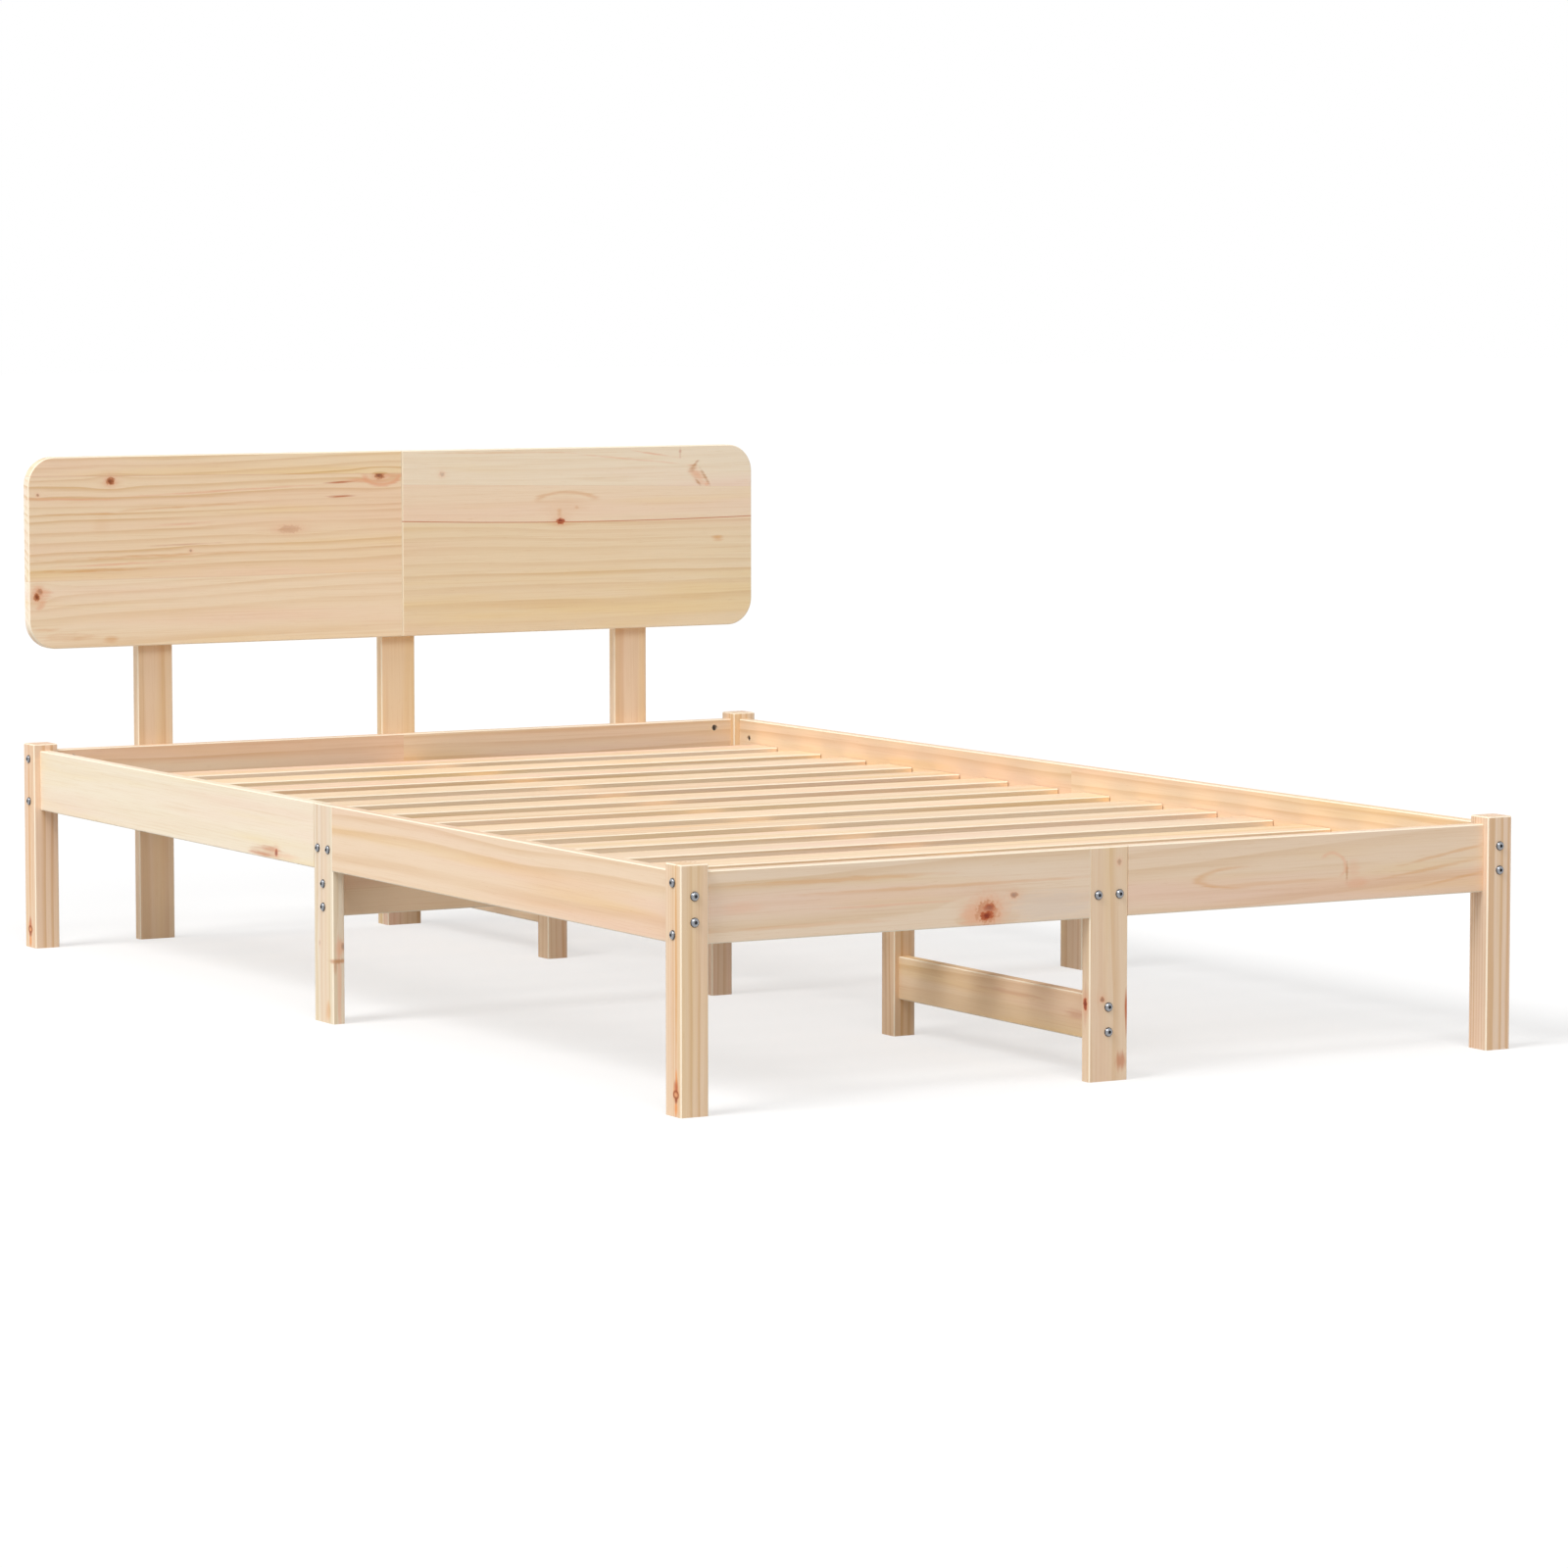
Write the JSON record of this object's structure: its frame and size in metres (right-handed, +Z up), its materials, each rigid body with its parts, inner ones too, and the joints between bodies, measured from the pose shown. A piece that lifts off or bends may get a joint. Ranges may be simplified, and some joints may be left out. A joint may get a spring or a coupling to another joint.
{
  "type": "bed frame",
  "caption": "Slatted bed frame in plain pine with a low rounded headboard, split rails bolted over middle legs, and a beam on centre legs under the slats.",
  "frame": {"origin": "on the floor, under the middle of the frame's overall size", "axes": "+Z up, +Y towards the headboard, +X to the right as seen from the foot"},
  "size_m": [1.2616, 2.069, 0.743],
  "materials": {
    "posts": "bare planed pine, fine vertical grain",
    "rails": "bare planed pine, grain along the rail",
    "legs": "bare planed pine, grain upright",
    "under": "bare planed pine, grain along the board",
    "slats": "bare planed pine, grain along the slat",
    "headboard": "glued pine boards, bare, with knots",
    "zinc": "bright zinc plate"
  },
  "bodies": {
    "root": {"barrel_nuts": "zinc", "centre_beam_foot": "under", "centre_beam_head": "under", "centre_leg_foot": "under", "centre_leg_head": "under", "centre_leg_middle": "under", "corner_bolts": "zinc", "corner_post_foot_left": "posts", "corner_post_foot_right": "posts", "corner_post_head_left": "posts", "corner_post_head_right": "posts", "crossbeam_left": "under", "crossbeam_right": "under", "foot_rail_left": "rails", "foot_rail_right": "rails", "head_bolts": "zinc", "head_rail_left": "rails", "head_rail_right": "rails", "headboard_panel_left": "headboard", "headboard_panel_right": "headboard", "headboard_screws": "zinc", "headboard_upright_left": "legs", "headboard_upright_middle": "legs", "headboard_upright_right": "legs", "ledger_bolts": "zinc", "ledger_left_foot": "under", "ledger_left_head": "under", "ledger_nuts": "zinc", "ledger_right_foot": "under", "ledger_right_head": "under", "ledger_screws": "zinc", "middle_leg_bolts": "zinc", "middle_leg_foot": "legs", "middle_leg_head": "legs", "middle_leg_left": "legs", "middle_leg_right": "legs", "side_rail_left_foot": "rails", "side_rail_left_head": "rails", "side_rail_right_foot": "rails", "side_rail_right_head": "rails", "slat_01": "slats", "slat_02": "slats", "slat_03": "slats", "slat_04": "slats", "slat_05": "slats", "slat_06": "slats", "slat_07": "slats", "slat_08": "slats", "slat_09": "slats", "slat_10": "slats", "slat_11": "slats", "slat_12": "slats", "slat_13": "slats", "slat_14": "slats", "stretcher_foot": "under", "stretcher_head": "under"}
  },
  "joints": []
}
